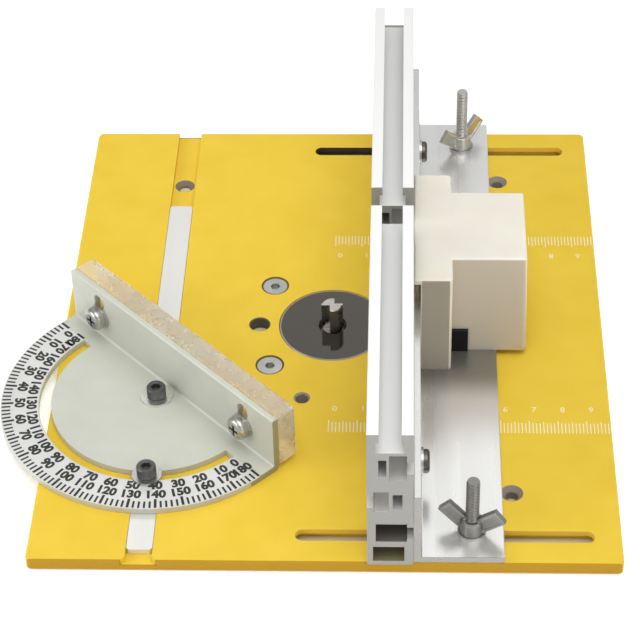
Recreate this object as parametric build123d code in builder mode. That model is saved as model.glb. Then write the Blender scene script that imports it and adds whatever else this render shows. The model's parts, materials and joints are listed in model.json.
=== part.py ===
"""Benchtop router table: slotted plate, insert ring and bit, mitre gauge, and a two-rail fence
with a dust hood.

Frame: the origin is on the bit's axis at the plate's underside. +X points to the fence,
+Y to the back edge and +Z up. Millimetres.
"""
import os
from math import cos, radians, sin, tan

from build123d import *

os.makedirs("parts", exist_ok=True)

# ---- table plate
PLATE_W = 250.0
PLATE_D = 300.0
TOP = 6.0                      # plate thickness, so also the height of the work surface
PLATE_CORNER_R = 2.5
PLATE_CHAMFER = 0.6
SLIDE_GAP = 0.1                # between flat faces that slide on each other
BODY_GAP = 0.15                # between flat faces of different bodies

# ---- mitre slot and the bar that slides in it
SLOT_X = -77.5
SLOT_W = 11.4
SLOT_DEPTH = 3.0
SLOT_MOUTH_W = 15.8
SLOT_MOUTH_L = 2.4
BAR_W = 11.0
BAR_T = 2.85
BAR_FRONT_Y = -143.5
BAR_BACK_Y = 89.0

# ---- fence slots, through the plate, with a recess below for the bolt heads
FENCE_SLOT_Y = 134.5
FENCE_SLOT_X0 = -9.0
FENCE_SLOT_X1 = 110.3
FENCE_SLOT_W = 6.6
BOLT_RECESS_W = 10.6
BOLT_RECESS_DEPTH = 3.4

# ---- insert ring and the opening under it
RING_R = 24.9
RING_T = 3.0
RING_SEAT_R = 25.1
ROUTER_OPENING_R = 21.0
BIT_HOLE_R = 6.1

# ---- holes in the plate
BASE_SCREW_PITCH = 56.0
CORNER_HOLE_R = 2.75
CORNER_SINK_R = 4.8
CORNER_HOLE_Y = 109.0
CORNER_HOLE_X = 79.75
LOCATING_HOLE_X = -34.0
LOCATING_HOLE_R = 4.5
STARTER_PIN_X = -12.5
STARTER_PIN_Y = -50.0
STARTER_PIN_R = 3.0

# ---- fasteners
M6_R = 2.95
M6_CLEAR_R = 3.3
M6_WASHER_R = 6.0
M5_R = 2.45
M5_RUNNING_R = 2.52
M5_HEAD_R = 4.25
M5_HEAD_H = 5.0
M4_R = 2.0
WASHER_T = 1.2
HEX_SOCKET = 2.0               # half across flats
BOLT_HEX = 5.0                 # half across flats
BASE_HEAD_R = 5.7
BASE_HEAD_Z = TOP - 0.45

# ---- router bit
BIT_CUT_R = 5.0
BIT_CORE_R = 4.6
BIT_ABOVE_TOP = 12.5

# ---- mitre head: half disc, upright wall and clear face board
PIVOT_Y = -53.0
HEAD_ANGLE = -45.7             # direction of the wall's length, from +X
HEAD_R = 70.0
HEAD_T = 3.0
HEAD_Z = TOP + SLIDE_GAP
WALL_D = 8.5                   # from the pivot to the wall's rear face
WALL_TOP = TOP + 30.0
ARC_SLOT_R = 50.1
ARC_SLOT_W = 5.5
SCALE_INNER_R = 53.2
SCALE_T = 0.4
BOARD_T = 10.0
BOARD_BOTTOM = TOP + 3.0
FACE_SCREW_S = 50.0            # each side of the pivot along the wall
FACE_SCREW_Z = TOP + 14.8
FACE_SLOT_Z = TOP + 17.75      # middle of the wall's upright slots
FACE_SLOT_L = 10.9             # between the centres of a slot's round ends

# ---- fence bracket, an equal angle
FENCE_X = 37.5                 # plane where the rails meet the bracket
ANGLE_LEG = 38.0
ANGLE_T = 3.0
BRACKET_Y0 = -149.5
BRACKET_Y1 = 153.5
BRACKET_Z = TOP + SLIDE_GAP
FENCE_BOLT_X = 62.0
FENCE_BOLT_TOPS = {-1: TOP + 33.0, 1: TOP + 37.4}       # front and rear bolt
RAIL_SCREW_Y = 109.0
RAIL_SCREW_Z = TOP + 19.0
WINDOW_Y0 = -19.0
WINDOW_Y1 = 23.0
WINDOW_Z0 = TOP + 6.0
WINDOW_Z1 = TOP + 34.0

# ---- fence rails, one extrusion in two lengths of stock
RAIL_W = 19.0
RAIL_H = 75.0
RAIL_L = 145.5
RAIL_X0 = FENCE_X - SLIDE_GAP - RAIL_W
RAIL_Z0 = TOP + BODY_GAP
RAIL_FRONT_Y0 = -151.0
RAIL_REAR_Y0 = 7.5
GROOVE_W = 9.2
GROOVE_DEPTH = 10.5

# ---- dust hood
HOOD_Z0 = BRACKET_Z + ANGLE_T + 0.05
HOOD_Z1 = TOP + 56.0
HOOD_WALL = 2.4
FLANGE_X0 = FENCE_X + ANGLE_T + BODY_GAP
FLANGE_X1 = 54.6
FLANGE_Y0 = -34.3
FLANGE_Y1 = 42.0
BOX_X1 = 89.1                  # the box's outer faces at its foot; they lean in as they rise
BOX_Y0 = -20.6
BOX_Y1 = 30.2
BOX_DRAFT = 1.6                # degrees
PORT_R = 16.0
PORT_Z = TOP + 30.0
HOOD_SCREW_Z = TOP + 19.0


def save(piece, name):
    """Label a finished piece and write its STEP file."""
    piece.part.label = name
    export_step(piece.part, f"parts/{name}.step")


# ==== table =====================================================================================

with BuildPart() as table_plate:
    with BuildSketch():
        RectangleRounded(PLATE_W, PLATE_D, PLATE_CORNER_R)
    extrude(amount=TOP)
    rims = table_plate.faces().filter_by(Axis.Z).edges()
    chamfer(rims, length=PLATE_CHAMFER)
    # Mitre slot along Y, with a flared mouth at the front edge
    with BuildSketch(Plane.XY.offset(TOP - SLOT_DEPTH)):
        with Locations((SLOT_X, 0)):
            Rectangle(SLOT_W, PLATE_D + 2)
        with BuildLine():
            mouth_y = -PLATE_D / 2
            Polyline(
                (SLOT_X - SLOT_MOUTH_W / 2, mouth_y),
                (SLOT_X - SLOT_W / 2, mouth_y + SLOT_MOUTH_L),
                (SLOT_X + SLOT_W / 2, mouth_y + SLOT_MOUTH_L),
                (SLOT_X + SLOT_MOUTH_W / 2, mouth_y),
                close=True,
            )
        make_face()
    extrude(amount=SLOT_DEPTH + 1, mode=Mode.SUBTRACT)
    # Fence slots and the recesses that take the bolt heads
    slot_length = FENCE_SLOT_X1 - FENCE_SLOT_X0
    slot_places = [((FENCE_SLOT_X0 + FENCE_SLOT_X1) / 2, side * FENCE_SLOT_Y) for side in (-1, 1)]
    with BuildSketch():
        with Locations(*slot_places):
            SlotCenterToCenter(slot_length, FENCE_SLOT_W)
    extrude(amount=TOP, mode=Mode.SUBTRACT)
    with BuildSketch():
        with Locations(*slot_places):
            SlotCenterToCenter(slot_length + 2, BOLT_RECESS_W)
    extrude(amount=BOLT_RECESS_DEPTH, mode=Mode.SUBTRACT)
    # Seat of the insert ring, and the router's opening below it
    with BuildSketch(Plane.XY.offset(TOP - RING_T)):
        Circle(RING_SEAT_R)
    extrude(amount=RING_T, mode=Mode.SUBTRACT)
    with BuildSketch():
        Circle(ROUTER_OPENING_R)
    extrude(amount=TOP, mode=Mode.SUBTRACT)
    # Countersunk holes for the router base, the corners and the two in the mitre slot's floor
    with Locations((0, 0, TOP)):
        with GridLocations(BASE_SCREW_PITCH, BASE_SCREW_PITCH, 2, 2):
            CounterSinkHole(M6_CLEAR_R, 6.5, depth=TOP, counter_sink_angle=90)
    with Locations(*[(CORNER_HOLE_X, side * CORNER_HOLE_Y, TOP) for side in (-1, 1)]):
        CounterSinkHole(CORNER_HOLE_R, CORNER_SINK_R, depth=TOP, counter_sink_angle=90)
    with Locations(*[(SLOT_X, side * CORNER_HOLE_Y, TOP - SLOT_DEPTH) for side in (-1, 1)]):
        CounterSinkHole(CORNER_HOLE_R, CORNER_SINK_R, depth=TOP, counter_sink_angle=90)
    # Locating hole beside the ring, and the starter-pin hole
    with Locations((LOCATING_HOLE_X, 0, TOP)):
        CounterSinkHole(LOCATING_HOLE_R, LOCATING_HOLE_R + 0.4, depth=TOP, counter_sink_angle=90)
    with Locations((STARTER_PIN_X, STARTER_PIN_Y, TOP)):
        CounterSinkHole(STARTER_PIN_R, STARTER_PIN_R + 0.7, depth=TOP, counter_sink_angle=90)
save(table_plate, "table_plate")

with BuildPart() as insert_ring:
    with BuildSketch(Plane.XY.offset(TOP - RING_T)):
        Circle(RING_R)
        Circle(BIT_HOLE_R, mode=Mode.SUBTRACT)
    extrude(amount=RING_T - 0.05)
    top_rims = insert_ring.faces().sort_by(Axis.Z)[-1].edges()
    chamfer(top_rims, length=0.5)
save(insert_ring, "insert_ring")

with BuildPart() as base_screws:
    foot_z = 0.2
    with BuildSketch(Plane.XZ):
        with BuildLine():
            Polyline(
                (0, foot_z),
                (M6_R, foot_z),
                (M6_R, BASE_HEAD_Z - 3.0),
                (BASE_HEAD_R, BASE_HEAD_Z - 0.25),
                (BASE_HEAD_R, BASE_HEAD_Z),
                (0, BASE_HEAD_Z),
                close=True,
            )
        make_face()
    screw = revolve(axis=Axis.Z, mode=Mode.PRIVATE)
    with GridLocations(BASE_SCREW_PITCH, BASE_SCREW_PITCH, 2, 2):
        add(screw)
    with BuildSketch(Plane.XY.offset(BASE_HEAD_Z)):
        with GridLocations(BASE_SCREW_PITCH, BASE_SCREW_PITCH, 2, 2):
            RegularPolygon(HEX_SOCKET, 6, major_radius=False)
    extrude(amount=-2.4, mode=Mode.SUBTRACT)
save(base_screws, "base_screws")


# ==== router bit ================================================================================

BIT_TOP = TOP + BIT_ABOVE_TOP
BIT_BOTTOM = TOP - RING_T + 0.05
FLUTE_BOTTOM = BIT_BOTTOM + 1.5
GULLET_FACE = 0.6              # from the bit's axis plane to each cutter's face

with BuildPart() as router_bit:
    with BuildSketch(Plane.XY.offset(BIT_BOTTOM)):
        Circle(BIT_CORE_R)
    extrude(amount=BIT_TOP - BIT_BOTTOM)
    chamfer(router_bit.faces().sort_by(Axis.Z)[-1].edges(), length=0.4)
    # Two gullets, half a turn apart, and the pocket in each that holds a carbide tip
    with BuildSketch(Plane.XY.offset(FLUTE_BOTTOM)):
        for turn in (0, 180):
            with Locations(Rot(0, 0, turn)):
                with Locations((3.6, GULLET_FACE + 2.5)):
                    Rectangle(5.2, 5.0)
                with Locations((3.6, GULLET_FACE)):
                    Rectangle(4.0, 2.4)
    extrude(amount=BIT_TOP, mode=Mode.SUBTRACT)
save(router_bit, "router_bit")

with BuildPart() as bit_carbide_tips:
    with BuildSketch(Plane.XY.offset(FLUTE_BOTTOM)):
        for turn in (0, 180):
            with Locations(Rot(0, 0, turn)):
                with Locations((3.3, GULLET_FACE - 0.55)):
                    Rectangle(3.4, 1.2)
        Circle(BIT_CUT_R, mode=Mode.INTERSECT)
    extrude(amount=BIT_TOP - FLUTE_BOTTOM)
save(bit_carbide_tips, "bit_carbide_tips")


# ==== mitre gauge ===============================================================================

BAR_Z = TOP - SLOT_DEPTH + 0.05
BAR_TOP = BAR_Z + BAR_T
LOCK_Y = PIVOT_Y - ARC_SLOT_R
PLATE_OF_HEAD_TOP = HEAD_Z + HEAD_T
WASHER_Z = PLATE_OF_HEAD_TOP + 0.05
SCREW_HEAD_Z = WASHER_Z + WASHER_T + 0.05

with BuildPart() as mitre_bar:
    bar_length = BAR_BACK_Y - BAR_FRONT_Y
    with BuildSketch(Plane.XY.offset(BAR_Z)):
        with Locations((SLOT_X, (BAR_BACK_Y + BAR_FRONT_Y) / 2)):
            Rectangle(BAR_W, bar_length)
    extrude(amount=BAR_T)
    chamfer(mitre_bar.edges().filter_by(Axis.Z), length=1.0)
    with Locations((SLOT_X, PIVOT_Y, BAR_TOP), (SLOT_X, LOCK_Y, BAR_TOP)):
        Hole(M5_RUNNING_R, depth=BAR_T)
save(mitre_bar, "mitre_bar")


def cap_screw(x, y):
    """Socket cap screw standing at (x, y), threaded down into the mitre bar."""
    with BuildPart() as screw:
        with BuildSketch(Plane.XY.offset(BAR_Z + 0.1)):
            with Locations((x, y)):
                Circle(M5_R)
        extrude(amount=SCREW_HEAD_Z - BAR_Z)
        with BuildSketch(Plane.XY.offset(SCREW_HEAD_Z)):
            with Locations((x, y)):
                Circle(M5_HEAD_R)
        extrude(amount=M5_HEAD_H)
        chamfer(screw.faces().sort_by(Axis.Z)[-1].edges(), length=0.5)
        with BuildSketch(Plane.XY.offset(SCREW_HEAD_Z + M5_HEAD_H)):
            with Locations((x, y)):
                RegularPolygon(HEX_SOCKET, 6, major_radius=False)
        extrude(amount=-2.8, mode=Mode.SUBTRACT)
    return screw


def washers(places, z, outer_r, inner_r):
    """Flat washers lying at height z."""
    with BuildPart() as rings:
        with BuildSketch(Plane.XY.offset(z)):
            with Locations(*places):
                Circle(outer_r)
                Circle(inner_r, mode=Mode.SUBTRACT)
        extrude(amount=WASHER_T)
    return rings


pivot_screw = cap_screw(SLOT_X, PIVOT_Y)
save(pivot_screw, "pivot_screw")

lock_screw = cap_screw(SLOT_X, LOCK_Y)
save(lock_screw, "lock_screw")

pivot_washer = washers([(SLOT_X, PIVOT_Y)], WASHER_Z, 7.25, 2.7)
save(pivot_washer, "pivot_washer")

lock_washer = washers([(SLOT_X, LOCK_Y)], WASHER_Z, 6.5, 2.7)
save(lock_washer, "lock_washer")

# The head's own plane: x along the wall, y out through the face board, origin on the pivot
HEAD_X_DIR = Vector(cos(radians(HEAD_ANGLE)), sin(radians(HEAD_ANGLE)), 0)
HEAD_Y_DIR = Vector(-sin(radians(HEAD_ANGLE)), cos(radians(HEAD_ANGLE)), 0)
PIVOT = Vector(SLOT_X, PIVOT_Y, 0)
HEAD_PLANE = Plane(origin=PIVOT, x_dir=HEAD_X_DIR, z_dir=(0, 0, 1))
WALL_FRONT_D = WALL_D + HEAD_T


def upright_plane(distance):
    """Plane parallel to the wall, a distance from the pivot, seen from behind the wall."""
    return Plane(origin=PIVOT + HEAD_Y_DIR * distance, x_dir=HEAD_X_DIR, z_dir=-HEAD_Y_DIR)


def half_ring(inner_r, outer_r):
    """Half ring on the rear side of the pivot line, in the sketch being drawn."""
    Circle(outer_r)
    Circle(inner_r, mode=Mode.SUBTRACT)
    with Locations((0, outer_r)):
        Rectangle(2 * outer_r + 2, 2 * outer_r, mode=Mode.SUBTRACT)


with BuildPart() as mitre_head:
    with BuildSketch(HEAD_PLANE.offset(HEAD_Z)):
        with BuildLine():
            CenterArc((0, 0), HEAD_R, 180, 180)
            Polyline((HEAD_R, 0), (HEAD_R, WALL_FRONT_D), (-HEAD_R, WALL_FRONT_D), (-HEAD_R, 0))
        make_face()
    extrude(amount=HEAD_T)
    with BuildSketch(HEAD_PLANE.offset(HEAD_Z)):
        with Locations((0, WALL_D + HEAD_T / 2)):
            Rectangle(2 * HEAD_R, HEAD_T)
    extrude(amount=WALL_TOP - HEAD_Z)
    along_wall = mitre_head.edges().filter_by(Axis((0, 0, 0), HEAD_X_DIR))
    inner_fold = along_wall.filter_by(lambda e: abs(e.center().Z - PLATE_OF_HEAD_TOP) < 0.01)
    fillet(inner_fold, radius=1.2)
    along_wall = mitre_head.edges().filter_by(Axis((0, 0, 0), HEAD_X_DIR))
    outer_fold = along_wall.filter_by(lambda e: abs(e.center().Z - HEAD_Z) < 0.01)
    fillet(outer_fold, radius=3.5)
    wall_top = mitre_head.faces().sort_by(Axis.Z)[-1]
    chamfer(wall_top.edges(), length=0.5)
    # Arc slot for the lock screw, concentric with the pivot
    with BuildSketch(HEAD_PLANE.offset(HEAD_Z)):
        half_ring(ARC_SLOT_R - ARC_SLOT_W / 2, ARC_SLOT_R + ARC_SLOT_W / 2)
    extrude(amount=HEAD_T, mode=Mode.SUBTRACT)
    # Shallow seat round the rim for the scale band
    with BuildSketch(HEAD_PLANE.offset(PLATE_OF_HEAD_TOP - SCALE_T)):
        half_ring(SCALE_INNER_R, HEAD_R + 1)
    extrude(amount=SCALE_T, mode=Mode.SUBTRACT)
    with BuildSketch(HEAD_PLANE.offset(HEAD_Z)):
        Circle(M5_RUNNING_R)
    extrude(amount=HEAD_T, mode=Mode.SUBTRACT)
    # Upright slots in the wall, where the face board's screws can be moved up and down
    with BuildSketch(upright_plane(WALL_D - 1)):
        with Locations(*[(s, FACE_SLOT_Z) for s in (-FACE_SCREW_S, FACE_SCREW_S)]):
            SlotCenterToCenter(FACE_SLOT_L, 2 * M6_CLEAR_R, rotation=90)
    extrude(amount=-(HEAD_T + 2), mode=Mode.SUBTRACT)
save(mitre_head, "mitre_head")

with BuildPart() as protractor_scale:
    with BuildSketch(HEAD_PLANE.offset(PLATE_OF_HEAD_TOP - SCALE_T)):
        half_ring(SCALE_INNER_R, HEAD_R)
    extrude(amount=SCALE_T)
save(protractor_scale, "protractor_scale")

BOARD_REAR_D = WALL_FRONT_D + BODY_GAP
SCREW_IN_BOARD = 8.0

with BuildPart() as face_board:
    with BuildSketch(HEAD_PLANE.offset(BOARD_BOTTOM)):
        with Locations((0, BOARD_REAR_D + BOARD_T / 2)):
            Rectangle(2 * HEAD_R, BOARD_T)
    extrude(amount=WALL_TOP - BOARD_BOTTOM)
    uprights = face_board.edges().filter_by(Axis.Z)
    far_corners = uprights.sort_by(lambda e: e.center().dot(HEAD_Y_DIR))[-2:]
    fillet(far_corners, radius=1.5)
    chamfer(face_board.faces().sort_by(Axis.Z)[-1].edges(), length=0.5)
    with BuildSketch(upright_plane(BOARD_REAR_D)):
        with Locations(*[(s, FACE_SCREW_Z) for s in (-FACE_SCREW_S, FACE_SCREW_S)]):
            Circle(M6_R + 0.05)
    extrude(amount=-(SCREW_IN_BOARD + 0.5), mode=Mode.SUBTRACT)
save(face_board, "face_board")

FACE_WASHER_D = WALL_D - 0.05
FACE_HEAD_D = FACE_WASHER_D - WASHER_T
FACE_HEAD_R = 5.5
FACE_HEAD_H = 4.4

with BuildPart() as face_washers:
    with BuildSketch(upright_plane(FACE_WASHER_D)):
        with Locations(*[(s, FACE_SCREW_Z) for s in (-FACE_SCREW_S, FACE_SCREW_S)]):
            Circle(M6_WASHER_R)
            Circle(M6_R + 0.1, mode=Mode.SUBTRACT)
    extrude(amount=WASHER_T)
save(face_washers, "face_washers")

with BuildPart() as face_screws:
    face_places = [(s, FACE_SCREW_Z) for s in (-FACE_SCREW_S, FACE_SCREW_S)]
    with BuildSketch(upright_plane(FACE_HEAD_D)):
        with Locations(*face_places):
            Circle(FACE_HEAD_R)
    extrude(amount=FACE_HEAD_H)
    head_faces = face_screws.faces().filter_by(Axis((0, 0, 0), HEAD_Y_DIR))
    front_faces = head_faces.sort_by(lambda f: f.center().dot(HEAD_Y_DIR))[:2]
    fillet(front_faces.edges(), radius=2.2)
    with BuildSketch(upright_plane(FACE_HEAD_D)):
        with Locations(*face_places):
            Circle(M6_R)
    extrude(amount=-(BOARD_REAR_D - FACE_HEAD_D + SCREW_IN_BOARD))
    # Cross recess
    with BuildSketch(upright_plane(FACE_HEAD_D - FACE_HEAD_H)):
        with Locations(*face_places):
            Rectangle(5.6, 1.2)
            Rectangle(1.2, 5.6)
    extrude(amount=-2.4, mode=Mode.SUBTRACT)
save(face_screws, "face_screws")


# ==== fence =====================================================================================

LEG_TOP = BRACKET_Z + ANGLE_LEG
SHELF_TOP = BRACKET_Z + ANGLE_T
BRACKET_L = BRACKET_Y1 - BRACKET_Y0
X_PLANE = Plane(origin=(FENCE_X, 0, 0), x_dir=(0, 1, 0), z_dir=(1, 0, 0))
BOLT_PLACES = [(FENCE_BOLT_X, side * FENCE_SLOT_Y) for side in (-1, 1)]
RAIL_SCREW_PLACES = [(side * RAIL_SCREW_Y, RAIL_SCREW_Z) for side in (-1, 1)]
HOOD_SCREW_PLACES = [(FLANGE_Y0 + 6.3, HOOD_SCREW_Z), (FLANGE_Y1 - 6.3, HOOD_SCREW_Z)]

with BuildPart() as fence_bracket:
    with BuildSketch(Plane.XZ.offset(-BRACKET_Y1)):
        with BuildLine():
            Polyline(
                (FENCE_X, BRACKET_Z),
                (FENCE_X + ANGLE_LEG, BRACKET_Z),
                (FENCE_X + ANGLE_LEG, SHELF_TOP),
                (FENCE_X + ANGLE_T, SHELF_TOP),
                (FENCE_X + ANGLE_T, LEG_TOP),
                (FENCE_X, LEG_TOP),
                close=True,
            )
        make_face()
    extrude(amount=BRACKET_L)
    inner_corner = fence_bracket.edges().filter_by(Axis.Y)
    inner_corner = inner_corner.filter_by(
        lambda e: abs(e.center().X - FENCE_X - ANGLE_T) < 0.01 and abs(e.center().Z - SHELF_TOP) < 0.01
    )
    fillet(inner_corner, radius=1.0)
    long_edges = fence_bracket.edges().filter_by(Axis.Y)
    long_edges = long_edges.filter_by(lambda e: e.center().Z > LEG_TOP - 0.1 or e.center().X > FENCE_X + 30)
    chamfer(long_edges, length=0.35)
    with BuildSketch(Plane.XY.offset(BRACKET_Z)):
        with Locations(*BOLT_PLACES):
            Circle(M6_CLEAR_R)
    extrude(amount=ANGLE_T, mode=Mode.SUBTRACT)
    # Dust window, clearance holes for the rail screws and countersunk holes for the hood
    with BuildSketch(X_PLANE):
        with Locations(((WINDOW_Y0 + WINDOW_Y1) / 2, (WINDOW_Z0 + WINDOW_Z1) / 2)):
            RectangleRounded(WINDOW_Y1 - WINDOW_Y0, WINDOW_Z1 - WINDOW_Z0, 2.0)
        with Locations(*RAIL_SCREW_PLACES):
            Circle(M6_CLEAR_R)
    extrude(amount=ANGLE_T, mode=Mode.SUBTRACT)
    with Locations(Plane(origin=(FENCE_X, 0, 0), x_dir=(0, -1, 0), z_dir=(-1, 0, 0))):
        with Locations(*[(-y, z) for y, z in HOOD_SCREW_PLACES]):
            CounterSinkHole(2.2, 4.2, depth=ANGLE_T, counter_sink_angle=90)
save(fence_bracket, "fence_bracket")

BOLT_Z = 0.2
BOLT_HEAD_T = 3.0

with BuildPart() as fence_bolts:
    with BuildSketch(Plane.XY.offset(BOLT_Z)):
        with Locations(*BOLT_PLACES):
            RegularPolygon(BOLT_HEX, 6, major_radius=False)
    extrude(amount=BOLT_HEAD_T)
    for side, bolt_top in FENCE_BOLT_TOPS.items():
        with BuildSketch(Plane.XY.offset(BOLT_Z)):
            with Locations((FENCE_BOLT_X, side * FENCE_SLOT_Y)):
                Circle(M6_R)
        extrude(amount=bolt_top - BOLT_Z)
    chamfer(fence_bolts.faces().filter_by(Axis.Z).sort_by(Axis.Z)[-2:].edges(), length=0.6)
save(fence_bolts, "fence_bolts")

fence_washers = washers(BOLT_PLACES, SHELF_TOP, M6_WASHER_R, 3.2)
save(fence_washers, "fence_washers")

NUT_Z = SHELF_TOP + WASHER_T + 0.05
NUT_HUB_H = 6.5
NUT_FOOT_R = 5.3
NUT_NECK_R = 4.6
WING_L = 13.6                  # along the wing, from inside the hub to its tip
WING_W = 7.2
WING_T = 2.6
WING_TILT = 41.0
WING_MIDDLE = (7.2, 7.0)       # outward from the bolt's axis, and up from the foot
WING_BORDER = 1.2
WING_POCKET = 0.5


def wing_nut(x, y, turn):
    """Wing nut on a fence bolt: a tapered hub and two rising wings, turned about the bolt."""
    hub_plane = Plane(origin=(x, y, NUT_Z), z_dir=(0, 0, 1)).rotated((0, 0, turn))
    wing_plane = Plane(origin=hub_plane.origin, x_dir=hub_plane.x_dir, z_dir=-hub_plane.y_dir)
    with BuildPart() as nut:
        with BuildSketch(hub_plane):
            Circle(NUT_FOOT_R)
        with BuildSketch(hub_plane.offset(NUT_HUB_H)):
            Circle(NUT_NECK_R)
        loft()
        out, up = WING_MIDDLE
        for side in (-1, 1):
            place = Location((side * out, up), side * WING_TILT)
            with BuildSketch(wing_plane):
                with Locations(place):
                    RectangleRounded(WING_L, WING_W, 1.0)
            extrude(amount=WING_T / 2, both=True)
            # Shallow pocket in each face of the wing
            for face in (-1, 1):
                with BuildSketch(wing_plane.offset(face * WING_T / 2)):
                    with Locations(place):
                        RectangleRounded(WING_L - 2 * WING_BORDER, WING_W - 2 * WING_BORDER, 0.6)
                extrude(amount=-face * WING_POCKET, mode=Mode.SUBTRACT)
        with BuildSketch(hub_plane.offset(-1)):
            Circle(M6_R + 0.07)
        extrude(amount=NUT_HUB_H + 10, mode=Mode.SUBTRACT)
    return nut


wing_nut_front = wing_nut(FENCE_BOLT_X, -FENCE_SLOT_Y, -17)
save(wing_nut_front, "wing_nut_front")

wing_nut_rear = wing_nut(FENCE_BOLT_X, FENCE_SLOT_Y, 44)
save(wing_nut_rear, "wing_nut_rear")


# Rail section: (x0, x1, z0, z1) of each hollow, from the rail's lower left corner
RAIL_HOLLOWS = [
    (3.7, 15.3, RAIL_H - GROOVE_DEPTH, RAIL_H - 4.5),      # undercut of the top groove
    (4.7, 8.0, 51.5, 60.5),                                # closed chamber
    (9.0, 16.2, 49.0, 63.0),                               # T-slot towards the bracket
    (16.1, RAIL_W + 1, 52.8, 59.4),                        # its mouth
    (2.6, 9.0, 31.0, 42.6),                                # T-slot in the work face
    (-1, 2.7, 33.5, 40.1),                                 # its mouth
    (10.5, 14.5, 33.0, 41.0),                              # closed chamber
    (3.6, 16.4, 13.8, 24.0),                               # T-slot of the rail screw
    (16.3, RAIL_W + 1, 15.6, 22.2),                        # its mouth
    (2.4, 15.4, 2.2, 10.6),                                # foot chamber
]


def rail(y0):
    """One fence rail, starting at y0 and running back along Y."""
    with BuildPart() as extrusion:
        with BuildSketch(Plane.XZ.offset(-y0 - RAIL_L)):
            with Locations((RAIL_X0 + RAIL_W / 2, RAIL_Z0 + RAIL_H / 2)):
                RectangleRounded(RAIL_W, RAIL_H, 0.5)
            with Locations((RAIL_X0 + RAIL_W / 2, RAIL_Z0 + RAIL_H)):
                Rectangle(GROOVE_W, 2 * GROOVE_DEPTH, mode=Mode.SUBTRACT)
            for x0, x1, z0, z1 in RAIL_HOLLOWS:
                with Locations((RAIL_X0 + (x0 + x1) / 2, RAIL_Z0 + (z0 + z1) / 2)):
                    Rectangle(x1 - x0, z1 - z0, mode=Mode.SUBTRACT)
        extrude(amount=RAIL_L)
    return extrusion


rail_front = rail(RAIL_FRONT_Y0)
save(rail_front, "rail_front")

rail_rear = rail(RAIL_REAR_Y0)
save(rail_rear, "rail_rear")

RAIL_HEAD_R = 5.2
RAIL_HEAD_H = 2.7
T_NUT_X1 = RAIL_X0 + 16.3
T_NUT_T = 5.0

with BuildPart() as rail_washers:
    with BuildSketch(X_PLANE.offset(ANGLE_T)):
        with Locations(*RAIL_SCREW_PLACES):
            Circle(M6_WASHER_R)
            Circle(3.2, mode=Mode.SUBTRACT)
    extrude(amount=WASHER_T)
save(rail_washers, "rail_washers")

with BuildPart() as rail_screws:
    with BuildSketch(X_PLANE.offset(ANGLE_T + WASHER_T)):
        with Locations(*RAIL_SCREW_PLACES):
            Circle(RAIL_HEAD_R)
    extrude(amount=RAIL_HEAD_H)
    fillet(rail_screws.faces().filter_by(Axis.X).sort_by(Axis.X)[-2:].edges(), radius=1.4)
    with BuildSketch(X_PLANE.offset(ANGLE_T + WASHER_T)):
        with Locations(*RAIL_SCREW_PLACES):
            Circle(M6_R)
    extrude(amount=-15.0)
    with BuildSketch(X_PLANE.offset(ANGLE_T + WASHER_T + RAIL_HEAD_H)):
        with Locations(*RAIL_SCREW_PLACES):
            RegularPolygon(HEX_SOCKET, 6, major_radius=False)
    extrude(amount=-1.8, mode=Mode.SUBTRACT)
save(rail_screws, "rail_screws")

with BuildPart() as rail_t_nuts:
    with BuildSketch(X_PLANE.offset(T_NUT_X1 - FENCE_X)):
        with Locations(*RAIL_SCREW_PLACES):
            Rectangle(14.0, 9.4)
            Circle(M6_R + 0.05, mode=Mode.SUBTRACT)
    extrude(amount=-T_NUT_T)
save(rail_t_nuts, "rail_t_nuts")


# ==== dust hood =================================================================================


def block(x0, x1, y0, y1, z0, z1, mode=Mode.ADD):
    """Rectangular block between two corners, in the part being built."""
    with Locations((x0, y0, z0)):
        Box(x1 - x0, y1 - y0, z1 - z0, align=Align.MIN, mode=mode)


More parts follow.
